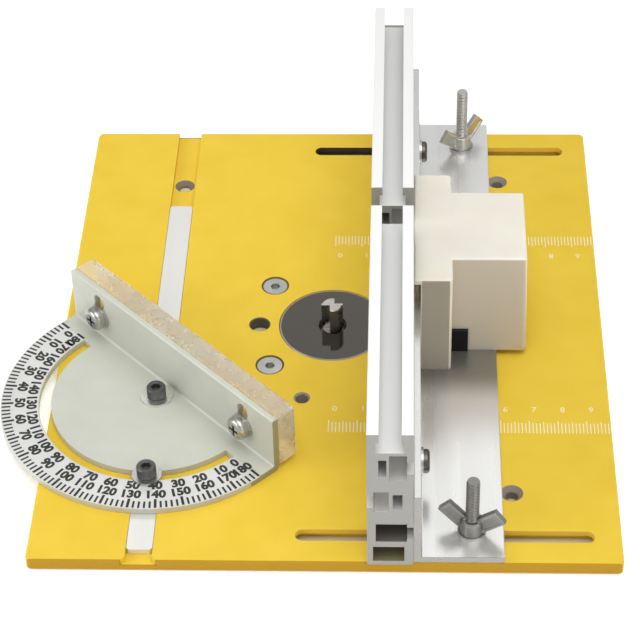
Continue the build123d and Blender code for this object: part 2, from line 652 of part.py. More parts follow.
with BuildPart() as dust_hood:
    block(FLANGE_X0, FLANGE_X1, FLANGE_Y0, FLANGE_Y1, HOOD_Z0, HOOD_Z1)
    block(FENCE_X + 0.1, FLANGE_X0, FLANGE_Y0, FLANGE_Y1, HOOD_Z1 - HOOD_WALL, HOOD_Z1)
    flange_corners = dust_hood.edges().filter_by(Axis.Z).sort_by(Axis.X)[-2:]
    fillet(flange_corners, radius=2.0)
    with BuildSketch(Plane.XY.offset(HOOD_Z0)):
        box_x0 = FLANGE_X1 - 5.0
        with Locations(((box_x0 + BOX_X1) / 2, (BOX_Y0 + BOX_Y1) / 2)):
            RectangleRounded(BOX_X1 - box_x0, BOX_Y1 - BOX_Y0, 2.5)
    extrude(amount=HOOD_Z1 - HOOD_Z0, taper=BOX_DRAFT)
    fillet(dust_hood.faces().sort_by(Axis.Z)[-1].edges(), radius=1.0)
    heel = dust_hood.edges().filter_by(Axis.Y).sort_by(Axis.Z).filter_by(
        lambda e: abs(e.center().X - FLANGE_X0) < 0.01 and abs(e.center().Z - HOOD_Z0) < 0.01
    )
    chamfer(heel, length=1.2)
    # Hollow inside: behind the flange, then the box
    inner_z0 = HOOD_Z0 + HOOD_WALL
    inner_z1 = HOOD_Z1 - HOOD_WALL
    box_wall = HOOD_WALL + 1.4     # at the foot, since the inner faces don't lean
    screw_boss = 9.0
    block(FLANGE_X0 + HOOD_WALL, FLANGE_X1 - HOOD_WALL, FLANGE_Y0 + screw_boss + HOOD_WALL,
          FLANGE_Y1 - screw_boss - HOOD_WALL, inner_z0, inner_z1, Mode.SUBTRACT)
    block(FLANGE_X1 - HOOD_WALL - 1, BOX_X1 - box_wall, BOX_Y0 + box_wall, BOX_Y1 - box_wall,
          inner_z0, inner_z1, Mode.SUBTRACT)
    # Inlet behind the bracket's window
    block(FLANGE_X0 - 1, FLANGE_X0 + HOOD_WALL + 1, WINDOW_Y0, WINDOW_Y1,
          WINDOW_Z0, WINDOW_Z1, Mode.SUBTRACT)
    # Round port for a hose in the right-hand wall
    with BuildSketch(Plane.YZ.offset(BOX_X1 - box_wall - 1)):
        with Locations(((BOX_Y0 + BOX_Y1) / 2, PORT_Z)):
            Circle(PORT_R)
    extrude(amount=box_wall + 2, mode=Mode.SUBTRACT)
    # Pilot holes for the two screws that hold the hood to the bracket
    with BuildSketch(Plane.YZ.offset(FLANGE_X0)):
        with Locations(*HOOD_SCREW_PLACES):
            Circle(M4_R + 0.05)
    extrude(amount=9.0, mode=Mode.SUBTRACT)
save(dust_hood, "dust_hood")

with BuildPart() as hood_screws:
    with BuildSketch(Plane.XZ):
        with BuildLine():
            Polyline(
                (0, 0),
                (3.8, 0),
                (3.8, 0.2),
                (M4_R, 2.0),
                (M4_R, 11.0),
                (0, 11.0),
                close=True,
            )
        make_face()
    hood_screw = revolve(axis=Axis.Z, mode=Mode.PRIVATE)
    for y, z in HOOD_SCREW_PLACES:
        with Locations(Plane(origin=(FENCE_X + 0.1, y, z), x_dir=(0, 1, 0), z_dir=(1, 0, 0))):
            add(hood_screw)
save(hood_screws, "hood_screws")

CLIP_H = 12.6
CLIP_OUT = 1.0                 # proud of the box's foot

with BuildPart() as hood_clip:
    with BuildSketch(Plane.YZ.offset(FLANGE_X1 + 0.4)):
        lean = CLIP_H * tan(radians(BOX_DRAFT))
        with BuildLine():
            Polyline(
                (BOX_Y0 - CLIP_OUT, HOOD_Z0),
                (BOX_Y0, HOOD_Z0),
                (BOX_Y0 + lean, HOOD_Z0 + CLIP_H),
                (BOX_Y0 - CLIP_OUT, HOOD_Z0 + CLIP_H),
                close=True,
            )
        make_face()
    extrude(amount=7.4)
    front_top = hood_clip.edges().filter_by(Axis.X).sort_by(Axis.Y)[:2].sort_by(Axis.Z)[-1]
    chamfer(front_top, length=0.6)
save(hood_clip, "hood_clip")
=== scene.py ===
"""Looks of the benchtop router table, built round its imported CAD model."""
import json
import math

import bmesh
import bpy
from mathutils import Matrix, Vector


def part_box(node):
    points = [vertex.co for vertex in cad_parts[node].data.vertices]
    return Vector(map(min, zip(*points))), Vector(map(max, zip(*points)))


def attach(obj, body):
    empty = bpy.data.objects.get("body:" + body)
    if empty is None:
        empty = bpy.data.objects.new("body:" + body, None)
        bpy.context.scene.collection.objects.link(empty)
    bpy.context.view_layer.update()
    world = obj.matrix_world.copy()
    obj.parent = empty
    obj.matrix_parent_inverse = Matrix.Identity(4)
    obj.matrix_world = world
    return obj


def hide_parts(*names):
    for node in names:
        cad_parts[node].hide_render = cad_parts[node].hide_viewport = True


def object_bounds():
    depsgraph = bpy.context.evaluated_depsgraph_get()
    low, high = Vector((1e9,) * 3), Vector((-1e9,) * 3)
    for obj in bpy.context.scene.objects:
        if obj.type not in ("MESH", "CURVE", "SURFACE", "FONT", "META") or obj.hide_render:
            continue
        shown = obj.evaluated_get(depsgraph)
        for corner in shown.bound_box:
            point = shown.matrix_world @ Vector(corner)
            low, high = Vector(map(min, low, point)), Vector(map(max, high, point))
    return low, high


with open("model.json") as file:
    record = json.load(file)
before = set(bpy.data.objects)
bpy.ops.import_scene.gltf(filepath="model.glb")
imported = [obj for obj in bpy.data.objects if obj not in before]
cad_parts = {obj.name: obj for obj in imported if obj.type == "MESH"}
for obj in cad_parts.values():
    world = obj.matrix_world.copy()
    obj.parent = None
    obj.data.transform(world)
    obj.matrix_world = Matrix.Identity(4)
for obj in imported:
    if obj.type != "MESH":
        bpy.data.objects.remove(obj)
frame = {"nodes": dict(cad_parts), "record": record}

cad_low, cad_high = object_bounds()

MM = 0.001
TABLE_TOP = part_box("table_plate")[1].z
WALL_ANGLE = math.radians(-45.7)       # direction of the mitre wall's length
M5_PITCH = 0.8 * MM
BOLT_PITCH = 1.75 * MM                 # the coarse thread of the fence bolts
INCH = 25.4 * MM


# ==== small tools ===============================================================================

def colour(code):
    """Linear RGBA of a six-digit sRGB colour code."""
    parts = [int(code[i:i + 2], 16) / 255 for i in (0, 2, 4)]
    linear = [c / 12.92 if c <= 0.04045 else ((c + 0.055) / 1.055) ** 2.4 for c in parts]
    return (*linear, 1.0)


def middle(node):
    """Centre of a CAD node's box at rest."""
    low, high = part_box(node)
    return (low + high) / 2


def add_piece(name, bm, body, look, smooth=True):
    """Turn a bmesh into a piece that rides on a CAD body."""
    mesh = bpy.data.meshes.new(name)
    bmesh.ops.recalc_face_normals(bm, faces=bm.faces)
    bm.to_mesh(mesh)
    bm.free()
    piece = bpy.data.objects.new(name, mesh)
    bpy.context.collection.objects.link(piece)
    mesh.materials.append(look)
    if smooth:
        mesh.polygons.foreach_set("use_smooth", [True] * len(mesh.polygons))
        mesh.set_sharp_from_angle(angle=math.radians(35))
    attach(piece, body)
    return piece


def lathe(bm, profile, matrix, segments=48):
    """Closed surface of revolution about Z. The profile starts and ends on the axis."""
    rings = []
    for radius, height in profile:
        if radius == 0:
            rings.append([bm.verts.new(matrix @ Vector((0, 0, height)))])
            continue
        turns = [2 * math.pi * i / segments for i in range(segments)]
        rings.append([
            bm.verts.new(matrix @ Vector((radius * math.cos(t), radius * math.sin(t), height)))
            for t in turns
        ])
    join_rings(bm, rings)


def join_rings(bm, rings):
    """Faces between rings of points, where a ring of one point closes the end."""
    for lower, upper in zip(rings, rings[1:]):
        count = max(len(lower), len(upper))
        for i in range(count):
            j = (i + 1) % count
            below = [lower[i % len(lower)], lower[j % len(lower)]]
            above = [upper[j % len(upper)], upper[i % len(upper)]]
            bm.faces.new(dict.fromkeys(below + above))


def prism(bm, outline, low, high, matrix):
    """Closed prism of a flat outline between two heights."""
    floor = [bm.verts.new(matrix @ Vector((x, y, low))) for x, y in outline]
    roof = [bm.verts.new(matrix @ Vector((x, y, high))) for x, y in outline]
    count = len(outline)
    bm.faces.new(floor)
    bm.faces.new(roof)
    for i in range(count):
        j = (i + 1) % count
        bm.faces.new((floor[i], floor[j], roof[j], roof[i]))


# ==== materials =================================================================================

def new_look(name):
    """An empty material, its node tree and its shader."""
    look = bpy.data.materials.new(name)
    look.use_nodes = True
    return look, look.node_tree, look.node_tree.nodes["Principled BSDF"]


def noise(tree, scale, detail=3.0, stretch=(1, 1, 1)):
    """Noise in the piece's own space, stretched where the finish has a direction."""
    place = tree.nodes.new("ShaderNodeTexCoord")
    mapping = tree.nodes.new("ShaderNodeMapping")
    mapping.inputs["Scale"].default_value = stretch
    pattern = tree.nodes.new("ShaderNodeTexNoise")
    pattern.inputs["Scale"].default_value = scale
    pattern.inputs["Detail"].default_value = detail
    tree.links.new(place.outputs["Object"], mapping.inputs["Vector"])
    tree.links.new(mapping.outputs["Vector"], pattern.inputs["Vector"])
    return pattern.outputs["Fac"]


NOISE_RANGE = (0.3, 0.7)               # the part of a noise pattern's range that is used


def tint(tree, shader, pattern, dark, light):
    """Base colour that wanders between two tones."""
    ramp = tree.nodes.new("ShaderNodeValToRGB")
    ramp.color_ramp.elements[0].position = NOISE_RANGE[0]
    ramp.color_ramp.elements[0].color = colour(dark)
    ramp.color_ramp.elements[1].position = NOISE_RANGE[1]
    ramp.color_ramp.elements[1].color = colour(light)
    tree.links.new(pattern, ramp.inputs["Fac"])
    tree.links.new(ramp.outputs["Color"], shader.inputs["Base Color"])


def vary_roughness(tree, shader, pattern, low, high):
    """Roughness that follows a pattern."""
    spread = tree.nodes.new("ShaderNodeMapRange")
    spread.inputs["From Min"].default_value = NOISE_RANGE[0]
    spread.inputs["From Max"].default_value = NOISE_RANGE[1]
    spread.inputs["To Min"].default_value = low
    spread.inputs["To Max"].default_value = high
    tree.links.new(pattern, spread.inputs["Value"])
    tree.links.new(spread.outputs["Result"], shader.inputs["Roughness"])


def relief(tree, shader, pattern, depth, strength=1.0):
    """Fine surface relief, with its depth in metres."""
    bump = tree.nodes.new("ShaderNodeBump")
    bump.inputs["Distance"].default_value = depth
    bump.inputs["Strength"].default_value = strength
    tree.links.new(pattern, bump.inputs["Height"])
    tree.links.new(bump.outputs["Normal"], shader.inputs["Normal"])


def finish_of(name, dark, light, rough, grain, depth, metallic=0.0, stretch=(1, 1, 1)):
    """A finish with broad colour variation, uneven roughness and fine relief."""
    look, tree, shader = new_look(name)
    shader.inputs["Metallic"].default_value = metallic
    tint(tree, shader, noise(tree, 60.0, 6.0, stretch), dark, light)
    vary_roughness(tree, shader, noise(tree, grain * 0.2, 4.0, stretch), rough - 0.06, rough + 0.06)
    relief(tree, shader, noise(tree, grain, 2.0, stretch), depth)
    return look, tree, shader


def math_node(tree, operation, first, second):
    """One maths step, whose inputs are sockets or numbers."""
    step = tree.nodes.new("ShaderNodeMath")
    step.operation = operation
    for socket, value in zip(step.inputs, (first, second)):
        if isinstance(value, (int, float)):
            socket.default_value = value
        else:
            tree.links.new(value, socket)
    return step.outputs["Value"]


def distance_from_axis(tree, x, y):
    """Distance, in the piece's own space, from an upright line."""
    place = tree.nodes.new("ShaderNodeTexCoord")
    parts = tree.nodes.new("ShaderNodeSeparateXYZ")
    tree.links.new(place.outputs["Object"], parts.inputs["Vector"])
    across = math_node(tree, "POWER", math_node(tree, "SUBTRACT", parts.outputs["X"], x), 2.0)
    along = math_node(tree, "POWER", math_node(tree, "SUBTRACT", parts.outputs["Y"], y), 2.0)
    return math_node(tree, "SQRT", math_node(tree, "ADD", across, along), 0.0)


def overlay(tree, shader, mask, code):
    """Lay a second colour over the base colour where the mask is 1."""
    under = shader.inputs["Base Color"].links[0].from_socket
    mix = tree.nodes.new("ShaderNodeMix")
    mix.data_type = "RGBA"
    tree.links.new(mask, mix.inputs["Factor"])
    tree.links.new(under, mix.inputs["A"])
    mix.inputs["B"].default_value = colour(code)
    tree.links.new(mix.outputs["Result"], shader.inputs["Base Color"])


def beyond(tree, axis, limit):
    """1 where a coordinate, in the piece's own space, is farther from zero than the limit."""
    place = tree.nodes.new("ShaderNodeTexCoord")
    parts = tree.nodes.new("ShaderNodeSeparateXYZ")
    tree.links.new(place.outputs["Object"], parts.inputs["Vector"])
    size = math_node(tree, "ABSOLUTE", parts.outputs[axis], 0.0)
    return math_node(tree, "GREATER_THAN", size, limit)


def between(tree, limits):
    """1 where each coordinate named, in the piece's own space, lies between its limits."""
    place = tree.nodes.new("ShaderNodeTexCoord")
    parts = tree.nodes.new("ShaderNodeSeparateXYZ")
    tree.links.new(place.outputs["Object"], parts.inputs["Vector"])
    mask = 1.0
    for axis, (lowest, highest) in limits.items():
        above = math_node(tree, "GREATER_THAN", parts.outputs[axis], lowest)
        below = math_node(tree, "LESS_THAN", parts.outputs[axis], highest)
        mask = math_node(tree, "MULTIPLY", math_node(tree, "MULTIPLY", above, below), mask)
    return mask


RAIL_LOW, RAIL_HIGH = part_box("rail_front")
RAIL_END_Y = 150.95 * MM               # the rails' outer end faces, painted in shade, lie beyond this
RAIL_INNER_END = (7.4 * MM, 7.55 * MM)      # Y of the rear rail's end face at the gap, painted in shade
LIP_DEPTH = 0.3 * MM                   # of the painted highlight along the rails' tops
RAIL_TUNNELS = (      # lowest and highest X and Z in mm, from the rail's corner, and the colour of the painted shade
    ((3.5, 13.7), (16.5, 24.1), "8A857F"),
    ((2.3, 2.1), (15.5, 10.7), "A79E7F"),
)
BASE_SCREW_X = 28 * MM                 # also the screws' Y, as they stand in a square
SINK_RADII = (5.6 * MM, 6.6 * MM)      # of the countersink that shows round a base screw, painted in shade
PLATE_END_Y = 149.3 * MM               # the plate's front and rear faces lie beyond this; they are painted in shade
IN_PLATE = (-1.0 * MM, 5.9 * MM)       # heights inside the plate, short of its top
# where the fence slots' walls lie; they carry painted light
FENCE_SLOT_X = (-12.5 * MM, 114 * MM)
FENCE_SLOT_Y = (131 * MM, 138 * MM)
RING_RIM = 24 * MM
FENCE_X = (39 * MM, 60 * MM)           # where the fence's screws lie; they are painted in shade
FRONT_BOLT_Y = (-200 * MM, -100 * MM)  # where the front bolt and its wing nut lie; they are painted in shade
# Y of the bracket's front face, painted in shade
BRACKET_EDGE_Y = (-151 * MM, -149.3 * MM)
# the shelf in front of the hood, where a painted shadow lies
SHELF = {"X": (40.6 * MM, 80 * MM), "Y": (-70 * MM, 40 * MM), "Z": (5 * MM, 9.5 * MM)}
SHELF_FADE = (-56 * MM, -36 * MM)      # Y where the shade in front of the hood begins and is full
SHELF_SHADE = 0.9
# where the pivot washer has a painted highlight
PIVOT_WASHER = {"X": (-90 * MM, -65 * MM), "Y": (-65 * MM, -40 * MM)}
HEAD_END = 69.8 * MM                   # from the pivot to the head's sawn end, whose end face is painted in shade
PLATE_HOLES = (       # X, Y and radius in mm, and the colour of the painted shade inside
    (-34.0, 0.0, 5.0, "665D54"), (-12.5, -50.0, 3.8, "9A9186"),
    (79.75, -109.0, 4.9, "8B8176"), (79.75, 109.0, 4.9, "8F877D"),
    (-77.5, -109.0, 4.9, "837A70"), (-77.5, 109.0, 4.9, "7F776C"),
)


def yellow_plate():
    """Satin yellow anodising, with painted shade inside the holes, round the base screws and on the
    front and rear faces, painted light on the fence slots' walls and a painted shadow at the rear
    slot's left end.
    """
    look, tree, shader = finish_of("yellow_anodised", "DFBD3A", "E4C342", 0.5, 2600, 0.00002)
    shader.inputs["Specular IOR Level"].default_value = 0.12
    # painted shade inside each hole
    for x, y, radius, code in PLATE_HOLES:
        from_axis = distance_from_axis(tree, x * MM, y * MM)
        overlay(tree, shader, math_node(tree, "LESS_THAN", from_axis, radius * MM), code)
    # painted shade in the countersink round each base screw
    for side_x in (-1, 1):
        for side_y in (-1, 1):
            radius = distance_from_axis(tree, side_x * BASE_SCREW_X, side_y * BASE_SCREW_X)
            outside = math_node(tree, "GREATER_THAN", radius, SINK_RADII[0])
            within = math_node(tree, "LESS_THAN", radius, SINK_RADII[1])
            overlay(tree, shader, math_node(tree, "MULTIPLY", outside, within), "6A5A30")
    # painted shade on the plate's front and rear faces
    overlay(tree, shader, beyond(tree, "Y", PLATE_END_Y), "B48A20")
    # painted light on the fence slots' walls
    for side in (-1, 1):
        slot_y = sorted(side * edge for edge in FENCE_SLOT_Y)
        walls = between(tree, {"X": FENCE_SLOT_X, "Y": slot_y, "Z": IN_PLATE})
        overlay(tree, shader, walls, "F6D052")
    # painted shadow at the rear fence slot's left end
    slot_shadow = {"X": (-13.5 * MM, 18 * MM), "Y": (128 * MM, 140.5 * MM), "Z": IN_PLATE}
    overlay(tree, shader, between(tree, slot_shadow), "4C4334")
    return look


def ring_plastic():
    """Polished black plastic with a paler turned rim."""
    look, tree, shader = finish_of("ring_polished", "12100C", "191610", 0.1, 1200, 0.000002)
    vary_roughness(tree, shader, noise(tree, 90.0), 0.04, 0.1)
    shader.inputs["IOR"].default_value = 1.68
    shader.inputs["Specular Tint"].default_value = colour("FBF1E6")
    rim = math_node(tree, "GREATER_THAN", distance_from_axis(tree, 0.0, 0.0), RING_RIM)
    overlay(tree, shader, rim, "8F8C86")
    return look


def bright_zinc(name, dark, light, rough=0.3):
    """Bare or plated metal with a fine grain."""
    return finish_of(name, dark, light, rough, 1500, 0.00003, metallic=1.0)[0]


def screw_zinc():
    """Zinc plate, with painted shade on the fence's screws, which lie beyond the mitre gauge and
    the ring.
    """
    look, tree, shader = finish_of(
        "zinc_screws", "A6A5A1", "C4C3BF", 0.3, 1500, 0.00003, metallic=1.0)
    # painted shade on the fence's screws
    overlay(tree, shader, between(tree, {"X": FENCE_X}), "62605C")
    return look


def fence_zinc(name, dark, light, front_shade):
    """Zinc plate on the fence's bolts and nuts, with painted shade on the front ones."""
    look, tree, shader = finish_of(name, dark, light, 0.34, 1500, 0.00003, metallic=1.0)
    # painted shade on the front bolt and wing nut
    overlay(tree, shader, between(tree, {"Y": FRONT_BOLT_Y}), front_shade)
    return look


def washer_zinc():
    """Zinc plate, with a painted highlight on the mitre gauge's pivot washer."""
    look, tree, shader = finish_of(
        "zinc_washers", "B4B3B0", "CCCBC8", 0.3, 1500, 0.00003, metallic=1.0)
    # painted highlight on the pivot washer
    overlay(tree, shader, between(tree, PIVOT_WASHER), "E6E6E3")
    return look


def black_oxide():
    """Blackened steel of the mitre gauge's cap screws."""
    return finish_of("black_oxide", "4C4C4C", "605F5D", 0.34, 1500, 0.00002, metallic=0.5)[0]


def head_metal():
    """Satin metal, with painted shade on the sawn right-hand end."""
    look, tree, shader = finish_of(
        "head_satin", "BEC0B4", "C5C7BB", 0.42, 1900, 0.000015, metallic=0.1)
    place = tree.nodes.new("ShaderNodeTexCoord")
    direction = (math.cos(WALL_ANGLE), math.sin(WALL_ANGLE), 0)
    end = Vector(direction).dot(middle("pivot_screw")) + HEAD_END
    along = tree.nodes.new("ShaderNodeVectorMath")
    along.operation = "DOT_PRODUCT"
    along.inputs[1].default_value = direction
    tree.links.new(place.outputs["Object"], along.inputs[0])
    # painted shade on the sawn right-hand end
    overlay(tree, shader, math_node(tree, "GREATER_THAN", along.outputs["Value"], end), "97927A")
    return look


def scale_metal():
    """Pale satin band that carries the degree scale."""
    return finish_of("scale_band", "CDCDCA", "D8D8D5", 0.34, 2400, 0.00001, metallic=0.3)[0]


def bar_steel():
    """Steel brushed along the bar."""
    return finish_of(
        "bar_brushed", "E0DFDA", "E8E7E3", 0.36, 900, 0.00001,
        metallic=0.55, stretch=(1, 0.06, 1))[0]


def bracket_aluminium():
    """Brushed aluminium, with painted shade on its front edge and a painted shadow in front of the
    hood.
    """
    look, tree, shader = finish_of(
        "bracket_satin", "E2E2E0", "E9E9E7", 0.29, 800, 0.000003,
        metallic=0.8, stretch=(1, 0.05, 1))
    # painted shade on the bracket's front face
    overlay(tree, shader, between(tree, {"Y": BRACKET_EDGE_Y}), "A2A09C")
    # painted shadow in front of the hood, full near the hood and fading towards the front
    place = tree.nodes.new("ShaderNodeTexCoord")
    parts = tree.nodes.new("ShaderNodeSeparateXYZ")
    fade = tree.nodes.new("ShaderNodeMapRange")
    fade.interpolation_type = "SMOOTHSTEP"
    fade.inputs["From Min"].default_value = SHELF_FADE[0]
    fade.inputs["From Max"].default_value = SHELF_FADE[1]
    fade.inputs["To Max"].default_value = SHELF_SHADE
    tree.links.new(place.outputs["Object"], parts.inputs["Vector"])
    tree.links.new(parts.outputs["Y"], fade.inputs["Value"])
    shade = math_node(tree, "MULTIPLY", between(tree, SHELF), fade.outputs["Result"])
    overlay(tree, shader, shade, "8C8A82")
    return look


def rail_aluminium():
    """Extruded aluminium, with painted shade inside its tunnels and on its end faces and a painted
    highlight on its top lips.
    """
    look, tree, shader = finish_of(
        "rail_extruded", "DCDCDA", "E3E3E1", 0.38, 900, 0.000004,
        metallic=0.5, stretch=(1, 0.03, 1))
    # painted shade inside the rail's tunnels
    for low, high, code in RAIL_TUNNELS:
        inside = between(tree, {
            "X": (RAIL_LOW.x + low[0] * MM, RAIL_LOW.x + high[0] * MM),
            "Z": (RAIL_LOW.z + low[1] * MM, RAIL_LOW.z + high[1] * MM),
        })
        overlay(tree, shader, inside, code)
    # painted shade on the rails' outer end faces
    overlay(tree, shader, beyond(tree, "Y", RAIL_END_Y), "9A9994")
    # painted shade on the rear rail's end face at the gap
    overlay(tree, shader, between(tree, {"Y": RAIL_INNER_END}), "A6A5A0")
    # painted highlight along the rails' top lips
    lips = between(tree, {"Z": (RAIL_HIGH.z - LIP_DEPTH, 1.0)})
    overlay(tree, shader, lips, "F6F6F4")
    return look


def clear_acrylic():
    """Clear plastic, slightly clouded, that shows the plate's yellow through it."""
    look, tree, shader = new_look("acrylic_clear")
    tint(tree, shader, noise(tree, 40.0), "FBEFD6", "FFFDF4")
    shader.inputs["Transmission Weight"].default_value = 0.68
    shader.inputs["IOR"].default_value = 1.15
    vary_roughness(tree, shader, noise(tree, 110.0, 4.0), 0.16, 0.4)
    relief(tree, shader, noise(tree, 45.0, 1.0), 0.00015, 0.3)
    return look


def hood_plastic():
    """Moulded cream plastic, with painted shade on the front faces of its flange and of its box."""
    look, tree, shader = finish_of("hood_moulded", "DFD9CB", "E5E0D4", 0.4, 1400, 0.00002)
    flange_front_shade = {"X": (41 * MM, 54.6 * MM), "Y": (-40 * MM, -34.1 * MM)}
    box_front_shade = {"X": (54.7 * MM, 90 * MM), "Y": (-30 * MM, -19 * MM), "Z": (0.0, 61.2 * MM)}
    # painted shade on the front faces of the flange and the box
    overlay(tree, shader, between(tree, flange_front_shade), "A29A8C")
    overlay(tree, shader, between(tree, box_front_shade), "C7BEAF")
    shader.inputs["Subsurface Weight"].default_value = 0.6
    shader.inputs["Subsurface Radius"].default_value = (1.0, 0.8, 0.6)
    shader.inputs["Subsurface Scale"].default_value = 0.006
    return look


def black_plastic():
    """Matt black plastic of the hood's clip."""
    look, _, shader = finish_of("clip_matt", "0D0D0C", "171615", 0.5, 1600, 0.00004)
    shader.inputs["Specular IOR Level"].default_value = 0.2
    return look


def ink(name, dark, light):
    """Matt printing ink."""
    return finish_of(name, dark, light, 0.5, 1200, 0.00001)[0]


LOOKS = {
    "yellow_plate": yellow_plate(),
    "ring_plastic": ring_plastic(),
    "zinc_screw": screw_zinc(),
    # the last colour of each fence look is the painted shade on the front bolt and wing nut
    "zinc_bolt": fence_zinc("zinc_bolts", "BDBBB7", "DAD8D4", "8E8C88"),
    "zinc_washer": washer_zinc(),
    "zinc_wing": fence_zinc("zinc_castings", "BCBAB5", "D9D7D2", "9A9894"),
    "bit_steel": bright_zinc("bit_body", "B0ACA7", "D0CCC7", 0.3),
    "carbide": bright_zinc("carbide_tips", "A8A7A6", "C4C3C2", 0.22),
    "bar_steel": bar_steel(),
    "black_screw": black_oxide(),
    "head_metal": head_metal(),
    "scale_metal": scale_metal(),
    "clear_acrylic": clear_acrylic(),
    "bracket_aluminium": bracket_aluminium(),
    "rail_aluminium": rail_aluminium(),
    "dark_nut": bright_zinc("dark_nuts", "7E786F", "9A948A", 0.4),
    "hood_plastic": hood_plastic(),
    "black_plastic": black_plastic(),
}
PALE_MARK = ink("ruler_marks", "E9DFB8", "F2E9C8")
DARK_MARK = ink("scale_marks", "1B1C1B", "2C2D2B")

slot_of = {entry["node"]: entry["material_slot"] for entry in frame["record"]["subparts"]}
for node, obj in frame["nodes"].items():
    for material_slot in obj.material_slots:
        material_slot.material = LOOKS[slot_of[node]]


# ==== soft edges on the CAD nodes ===============================================================

def soften(node, width):
    """Round a CAD node's sharp edges."""
    obj = frame["nodes"][node]
    weld = obj.modifiers.new("weld", "WELD")
    weld.merge_threshold = 0.002 * MM
    bevel = obj.modifiers.new("soft_edges", "BEVEL")
    bevel.width = width
    bevel.segments = 2
    bevel.limit_method = "ANGLE"
    bevel.angle_limit = math.radians(40)


# ==== marks =====================================================================================

MARK_HEIGHT = 0.03 * MM


def bar_mark(bm, matrix, x, y, width, length):
    """One thin raised stroke, from (x, y) along Y."""
    left, right = x - width / 2, x + width / 2
    outline = [(left, y), (right, y), (right, y + length), (left, y + length)]
    prism(bm, outline, 0.0, MARK_HEIGHT, matrix)


def numeral(bm, text, size, matrix, weight=0.0):
    """A number as a thin raised mesh, centred on the matrix's origin."""
    curve = bpy.data.curves.new("numeral", "FONT")
    curve.body = text
    curve.size = size
    curve.align_x = "CENTER"
    curve.align_y = "CENTER"
    curve.resolution_u = 3
    curve.offset = weight
    curve.extrude = MARK_HEIGHT / 2
    holder = bpy.data.objects.new("numeral", curve)
    shape = bpy.data.meshes.new_from_object(holder)
    shape.transform(matrix @ Matrix.Translation((0, 0, MARK_HEIGHT / 2)))
    bm.from_mesh(shape)
    bpy.data.meshes.remove(shape)
    bpy.data.objects.remove(holder)
    bpy.data.curves.remove(curve)


RULER_LENGTH = 124 * MM
RULER_TICKS = {8: 7.8, 4: 7.2, 1: 6.4}     # length in mm, by step in sixteenths of an inch
RULER_TICK_WIDTH = 0.45 * MM
RULER_NUMBER_SIZE = 4.6 * MM
RULER_NUMBER_SHIFT = 2.4 * MM              # to the right of the tick it belongs to
RULER_NUMBER_GAP = 15 * MM                 # from the ticks' outer ends


def ruler(name, y, side):
    """Inch scale across the table from the bit's axis, numbered at each half inch."""
    bm = bmesh.new()
    tick_gap = INCH / 16
    for step in range(int(RULER_LENGTH / tick_gap) + 1):
        length = next(RULER_TICKS[unit] for unit in RULER_TICKS if step % unit == 0) * MM
        start = y if side > 0 else y - length
        place = Matrix.Translation((step * tick_gap, start, TABLE_TOP))
        bar_mark(bm, place, 0, 0, RULER_TICK_WIDTH, length)
    for number in range(int(RULER_LENGTH / (INCH / 2)) + 1):
        number_x = number * INCH / 2 + RULER_NUMBER_SHIFT
        place = Matrix.Translation((number_x, y + side * RULER_NUMBER_GAP, TABLE_TOP))
        numeral(bm, str(number), RULER_NUMBER_SIZE, place)
    bmesh.ops.remove_doubles(bm, verts=bm.verts, dist=0.0001 * MM)
    add_piece(name, bm, "table", PALE_MARK, smooth=False)


ruler("ruler_rear", 65.6 * MM, -1)
ruler("ruler_front", -72.0 * MM, 1)

pivot = middle("pivot_screw")
scale_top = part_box("protractor_scale")[1].z
HEAD = Matrix.Translation((pivot.x, pivot.y, scale_top)) @ Matrix.Rotation(WALL_ANGLE, 4, "Z")
SCALE_OUTER = 70.0                                  # mm
SCALE_MARGIN = 0.5                                  # mm, from the band's rim to the ticks
SCALE_TICKS = {10: (5.2, 1.2), 2: (3.9, 0.95)}      # length and width in mm, by degree step
SCALE_ROWS = (61.6, 56.3)                           # radii of the two rows of numbers, in mm
SCALE_NUMBER_SIZE = 6.0 * MM
SCALE_NUMBER_WEIGHT = 0.3 * MM


def protractor_marks():
    """Half-circle scale: a tick each 2 degrees and two rows of numbers, one from each end."""
    bm = bmesh.new()
    for degree in range(0, 181, 2):
        step = 10 if degree % 10 == 0 else 2
        length, width = SCALE_TICKS[step]
        turned = HEAD @ Matrix.Rotation(math.radians(90 + degree), 4, "Z")
        inner = SCALE_OUTER - SCALE_MARGIN - length
        bar_mark(bm, turned, 0, inner * MM, width * MM, length * MM)
    for degree in range(0, 181, 10):
        spin = HEAD @ Matrix.Rotation(math.radians(180 + min(max(degree, 2.5), 177.5)), 4, "Z")
        for radius, number in zip(SCALE_ROWS, (degree, 180 - degree)):
            upright = Matrix.Rotation(math.radians(90), 4, "Z")
            place = spin @ Matrix.Translation((radius * MM, 0, 0)) @ upright
            numeral(bm, str(number), SCALE_NUMBER_SIZE, place, weight=SCALE_NUMBER_WEIGHT)
    bmesh.ops.remove_doubles(bm, verts=bm.verts, dist=0.0001 * MM)
    add_piece("protractor_marks", bm, "mitre_head", DARK_MARK, smooth=False)


protractor_marks()


# ==== threaded bolts and wing nuts ==============================================================

THREAD_DEPTH = 0.6 * MM
TIP_LENGTH = 0.8 * MM
TIP_DEPTH = 0.5 * MM


